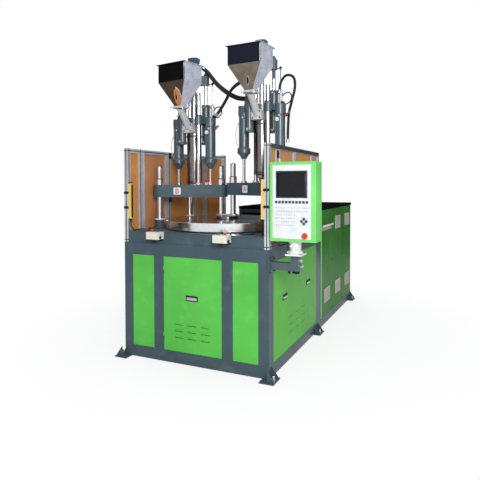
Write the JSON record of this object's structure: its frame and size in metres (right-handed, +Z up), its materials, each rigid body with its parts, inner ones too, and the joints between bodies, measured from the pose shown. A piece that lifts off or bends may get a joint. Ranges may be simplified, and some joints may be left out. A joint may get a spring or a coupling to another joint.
{
  "type": "vertical injection moulding machine",
  "caption": "Vertical injection moulding machine with twin injection units over a rotary table, side guards, swivelling operator panel and rear power cabinet.",
  "frame": {"origin": "centre of the four anchor holes under the base, on the floor, on the table's axis", "axes": "+X to the operator's right, +Y to the back of the machine, +Z up"},
  "size_m": [1.8525, 3.1211, 2.8873],
  "materials": {
    "slate_paint": "satin",
    "green_paint": "satin",
    "dark_green_paint": "satin",
    "black_paint": "satin",
    "beige_paint": "satin",
    "white_paint": "satin",
    "yellow_paint": "satin",
    "machined_steel": "ground",
    "chromed_steel": "polished",
    "polished_sheet": "polished",
    "brushed_jacket": "brushed",
    "cast_aluminium": "cast",
    "aluminium_profile": "anodised",
    "kraft_board": "matt",
    "hose_rubber": "matt",
    "cream_plastic": "matt",
    "white_plastic": "gloss",
    "red_plastic": "gloss",
    "green_plastic": "gloss"
  },
  "bodies": {
    "base": {"base_frame": "slate_paint", "anchor_feet": "slate_paint", "machine_bed": "slate_paint", "front_panels": "green_paint", "side_panels": "dark_green_paint", "cabinet_frame": "slate_paint", "cabinet_panels": "dark_green_paint", "cabinet_top": "black_paint", "vent_grilles": "beige_paint", "oil_tank": "slate_paint", "pump_motor": "slate_paint", "centre_hub": "slate_paint", "clamp_cylinders": "slate_paint", "panel_arm": "slate_paint", "guard_frame": "aluminium_profile", "guard_boards": "kraft_board", "light_curtains": "yellow_paint", "hand_stations": "cream_plastic"},
    "front_door": {"front_door": "green_paint"},
    "table": {"rotary_table": "machined_steel"},
    "guard_door_left": {"door_left": "aluminium_profile", "door_left_board": "kraft_board"},
    "guard_door_right": {"door_right": "aluminium_profile", "door_right_board": "kraft_board"},
    "operator_panel": {"panel_swivel": "white_paint", "panel_box": "green_paint", "operator_face": "white_plastic"},
    "panel_stop": {"panel_stop": "red_plastic"},
    "stop_left": {"stop_left": "red_plastic"},
    "start_left": {"start_left": "green_plastic"},
    "stop_right": {"stop_right": "red_plastic"},
    "start_right": {"start_right": "green_plastic"},
    "clamp_a": {"platen_a": "slate_paint", "tie_bars_a": "chromed_steel", "lower_platen_a": "slate_paint", "unit_rods_a": "chromed_steel"},
    "carriage_a": {"carriage_a": "slate_paint", "cylinders_a": "slate_paint", "barrel_a": "brushed_jacket", "feed_throat_a": "cast_aluminium", "hopper_a": "polished_sheet", "transducer_a": "white_paint", "hoses_a": "hose_rubber"},
    "injector_a": {"yoke_a": "slate_paint", "screw_motor_a": "slate_paint"},
    "screw_a": {"screw_a": "chromed_steel"},
    "clamp_b": {"platen_b": "slate_paint", "tie_bars_b": "chromed_steel", "lower_platen_b": "slate_paint", "unit_rods_b": "chromed_steel"},
    "carriage_b": {"carriage_b": "slate_paint", "cylinders_b": "slate_paint", "barrel_b": "brushed_jacket", "feed_throat_b": "cast_aluminium", "hopper_b": "polished_sheet", "transducer_b": "white_paint", "hoses_b": "hose_rubber"},
    "injector_b": {"yoke_b": "slate_paint", "screw_motor_b": "slate_paint"},
    "screw_b": {"screw_b": "chromed_steel"}
  },
  "joints": [
    {"name": "front_door_hinge", "type": "hinge", "parent": "base", "child": "front_door", "pos_m": [-0.282, -0.68, 0.5], "axis": [0, 0, -1], "range_deg": [0, 110]},
    {"name": "table_spin", "type": "hinge", "parent": "base", "child": "table", "pos_m": [0, 0, 1.14], "axis": [0, 0, 1], "continuous": true},
    {"name": "guard_door_left_hinge", "type": "hinge", "parent": "base", "child": "guard_door_left", "pos_m": [-0.71, -0.021, 1.4], "axis": [0, 0, -1], "range_deg": [0, 95]},
    {"name": "guard_door_right_hinge", "type": "hinge", "parent": "base", "child": "guard_door_right", "pos_m": [0.71, -0.465, 1.4], "axis": [0, 0, -1], "range_deg": [0, 75]},
    {"name": "panel_swivel", "type": "hinge", "parent": "base", "child": "operator_panel", "pos_m": [0.905, -0.64, 1.02], "axis": [0, 0, 1], "range_deg": [-45, 45]},
    {"name": "panel_stop_press", "type": "slide", "parent": "operator_panel", "child": "panel_stop", "axis": [0, 1, 0], "range_m": [0, 0.006], "stiffness_N_per_m": 600},
    {"name": "stop_left_press", "type": "slide", "parent": "base", "child": "stop_left", "axis": [0, 0, -1], "range_m": [0, 0.004], "stiffness_N_per_m": 800},
    {"name": "start_left_press", "type": "slide", "parent": "base", "child": "start_left", "axis": [0, 0, -1], "range_m": [0, 0.004], "stiffness_N_per_m": 800},
    {"name": "stop_right_press", "type": "slide", "parent": "base", "child": "stop_right", "axis": [0, 0, -1], "range_m": [0, 0.004], "stiffness_N_per_m": 800},
    {"name": "start_right_press", "type": "slide", "parent": "base", "child": "start_right", "axis": [0, 0, -1], "range_m": [0, 0.004], "stiffness_N_per_m": 800},
    {"name": "clamp_a_slide", "type": "slide", "parent": "base", "child": "clamp_a", "axis": [0, 0, 1], "range_m": [-0.16, 0.02]},
    {"name": "carriage_a_slide", "type": "slide", "parent": "clamp_a", "child": "carriage_a", "axis": [0, 0, 1], "range_m": [-0.065, 0.06]},
    {"name": "injection_a_slide", "type": "slide", "parent": "carriage_a", "child": "injector_a", "axis": [0, 0, 1], "range_m": [-0.15, 0.01]},
    {"name": "screw_a_spin", "type": "hinge", "parent": "injector_a", "child": "screw_a", "pos_m": [0.363, 0, 2.4], "axis": [0, 0, 1], "continuous": true},
    {"name": "clamp_b_slide", "type": "slide", "parent": "base", "child": "clamp_b", "axis": [0, 0, 1], "range_m": [-0.16, 0.02]},
    {"name": "carriage_b_slide", "type": "slide", "parent": "clamp_b", "child": "carriage_b", "axis": [0, 0, 1], "range_m": [0, 0.12]},
    {"name": "injection_b_slide", "type": "slide", "parent": "carriage_b", "child": "injector_b", "axis": [0, 0, 1], "range_m": [-0.15, 0.01]},
    {"name": "screw_b_spin", "type": "hinge", "parent": "injector_b", "child": "screw_b", "pos_m": [-0.363, 0, 2.4], "axis": [0, 0, 1], "continuous": true}
  ]
}
